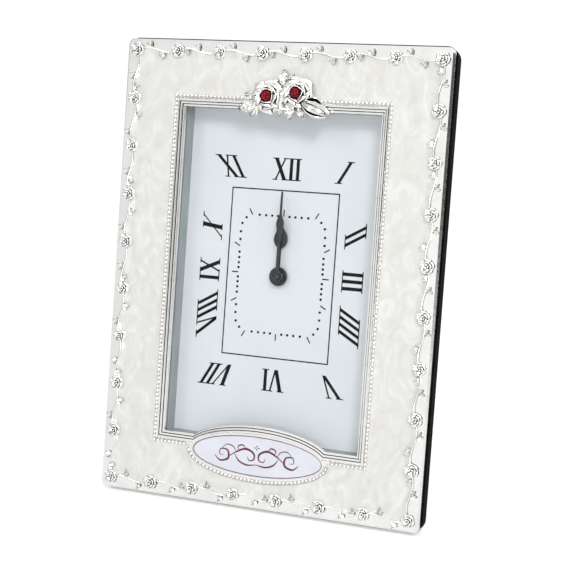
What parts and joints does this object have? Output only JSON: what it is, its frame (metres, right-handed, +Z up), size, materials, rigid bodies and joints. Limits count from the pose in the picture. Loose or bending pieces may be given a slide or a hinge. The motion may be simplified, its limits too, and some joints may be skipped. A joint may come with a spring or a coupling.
{
  "type": "photo frame clock",
  "caption": "Silver rose-garland photo frame with pearl enamel, red stones and a clock dial behind its window, standing on a hinged back strut.",
  "frame": {"origin": "on the table, under the middle of the clock's bounding box", "axes": "+Z up, +X to the right of someone facing the dial, +Y to the rear; the frame leans back 10.5 degrees and its strut is open"},
  "size_m": [0.1606, 0.0548, 0.2125],
  "materials": {
    "silver": "bright silver plate with dark toning left in the hollows",
    "enamel": "pearl white enamel with soft swirls, glossy",
    "plaque": "pale lilac white, satin, with a printed flourish",
    "red_stone": "ruby red, faceted, glossy",
    "window_glass": "clear flat glass",
    "spacer": "grey-blue paper lining",
    "dial": "pale blue-white printed card",
    "black_cover": "fibreboard covered in black velvet, matte",
    "steel": "zinc plated, satin",
    "pad": "white adhesive foam",
    "black_plastic": "black, fine texture",
    "white_plastic": "natural white moulding",
    "brass_pipe": "turned brass",
    "dark_hand": "dark charcoal, fine texture",
    "magnet": "dark sintered magnet",
    "iron": "soft iron, dull",
    "copper": "enamelled copper wire, close wound",
    "board": "brown circuit laminate",
    "can": "bright drawn can",
    "cell": "plain dark sleeve with a bright end",
    "nickel": "nickel plated spring strip"
  },
  "bodies": {
    "clock_body": {"front_frame": "silver", "enamel_panel": "enamel", "oval_plaque": "plaque", "rose_spray": "silver", "spray_crystals": "red_stone", "window_glass": "window_glass", "spacer_walls": "spacer", "dial_plate": "dial", "backing_frame": "black_cover", "back_panel": "black_cover", "button_screws": "steel", "hinge_strap": "steel", "strap_rivets": "steel", "hinge_pin": "steel", "movement_pad": "pad", "movement_lid": "black_plastic", "movement_case": "black_plastic", "middle_plate": "white_plastic", "motor_stator": "iron", "coil_core": "iron", "coil_bobbin": "white_plastic", "coil_winding": "copper", "circuit_board": "board", "circuit_chip": "black_plastic", "quartz_crystal": "can", "dry_cell": "cell", "positive_contact": "nickel", "negative_contact": "nickel"},
    "strut": {"easel_strut": "black_cover", "strut_leaf": "steel", "leaf_rivets": "steel"},
    "minute_arbor": {"minute_pipe": "brass_pipe", "centre_wheel": "white_plastic", "minute_hand": "dark_hand", "hand_cap": "dark_hand"},
    "hour_arbor": {"hour_wheel": "white_plastic", "hour_hand": "dark_hand"},
    "minute_wheel": {"minute_wheel": "white_plastic"},
    "set_shaft": {"set_wheel": "white_plastic", "set_knob": "black_plastic"},
    "reduction_wheel": {"reduction_wheel": "white_plastic"},
    "rotor": {"motor_rotor": "white_plastic", "rotor_magnet": "magnet"},
    "turn_button_1": {"turn_button_1": "steel"},
    "turn_button_2": {"turn_button_2": "steel"},
    "turn_button_3": {"turn_button_3": "steel"},
    "turn_button_4": {"turn_button_4": "steel"}
  },
  "joints": [
    {"name": "strut_fold", "type": "hinge", "parent": "clock_body", "child": "strut", "pos_m": [0, 0.00369, 0.07168], "axis": [-1, 0, 0], "range_deg": [0, 25.5]},
    {"name": "turn_button_1_turn", "type": "hinge", "parent": "clock_body", "child": "turn_button_1", "pos_m": [-0.0567, -0.00284, 0.05346], "axis": [0, 0.9833, -0.1822], "range_deg": [-90, 90]},
    {"name": "turn_button_2_turn", "type": "hinge", "parent": "clock_body", "child": "turn_button_2", "pos_m": [-0.0567, 0.01615, 0.15593], "axis": [0, 0.9833, -0.1822], "range_deg": [-90, 90]},
    {"name": "turn_button_3_turn", "type": "hinge", "parent": "clock_body", "child": "turn_button_3", "pos_m": [0.0567, -0.00284, 0.05346], "axis": [0, 0.9833, -0.1822], "range_deg": [-90, 90]},
    {"name": "turn_button_4_turn", "type": "hinge", "parent": "clock_body", "child": "turn_button_4", "pos_m": [0.0567, 0.01615, 0.15593], "axis": [0, 0.9833, -0.1822], "range_deg": [-90, 90]},
    {"name": "minute_turn", "type": "hinge", "parent": "clock_body", "child": "minute_arbor", "pos_m": [0.0005, 0.00044, 0.10625], "axis": [0, 0.9833, -0.1822], "continuous": true},
    {"name": "hour_turn", "type": "hinge", "parent": "clock_body", "child": "hour_arbor", "pos_m": [0.0005, 0.0025, 0.10587], "axis": [0, 0.9833, -0.1822], "continuous": true},
    {"name": "minute_wheel_turn", "type": "hinge", "parent": "clock_body", "child": "minute_wheel", "pos_m": [-0.00781, 0.00839, 0.10966], "axis": [0, 0.9833, -0.1822], "continuous": true},
    {"name": "set_turn", "type": "hinge", "parent": "clock_body", "child": "set_shaft", "pos_m": [-0.01381, 0.02395, 0.11734], "axis": [0, 0.9833, -0.1822], "continuous": true},
    {"name": "reduction_turn", "type": "hinge", "parent": "clock_body", "child": "reduction_wheel", "pos_m": [0.00965, 0.01266, 0.10935], "axis": [0, 0.9833, -0.1822], "continuous": true},
    {"name": "rotor_turn", "type": "hinge", "parent": "clock_body", "child": "rotor", "pos_m": [0.01364, 0.01515, 0.11594], "axis": [0, 0.9833, -0.1822], "continuous": true}
  ],
  "couplings": [
    {"joint": "hour_turn", "follows": "minute_turn", "ratio": 0.083333},
    {"joint": "minute_wheel_turn", "follows": "minute_turn", "ratio": -0.33333},
    {"joint": "set_turn", "follows": "minute_turn", "ratio": 0.5},
    {"joint": "reduction_turn", "follows": "minute_turn", "ratio": -10},
    {"joint": "rotor_turn", "follows": "minute_turn", "ratio": 90}
  ]
}
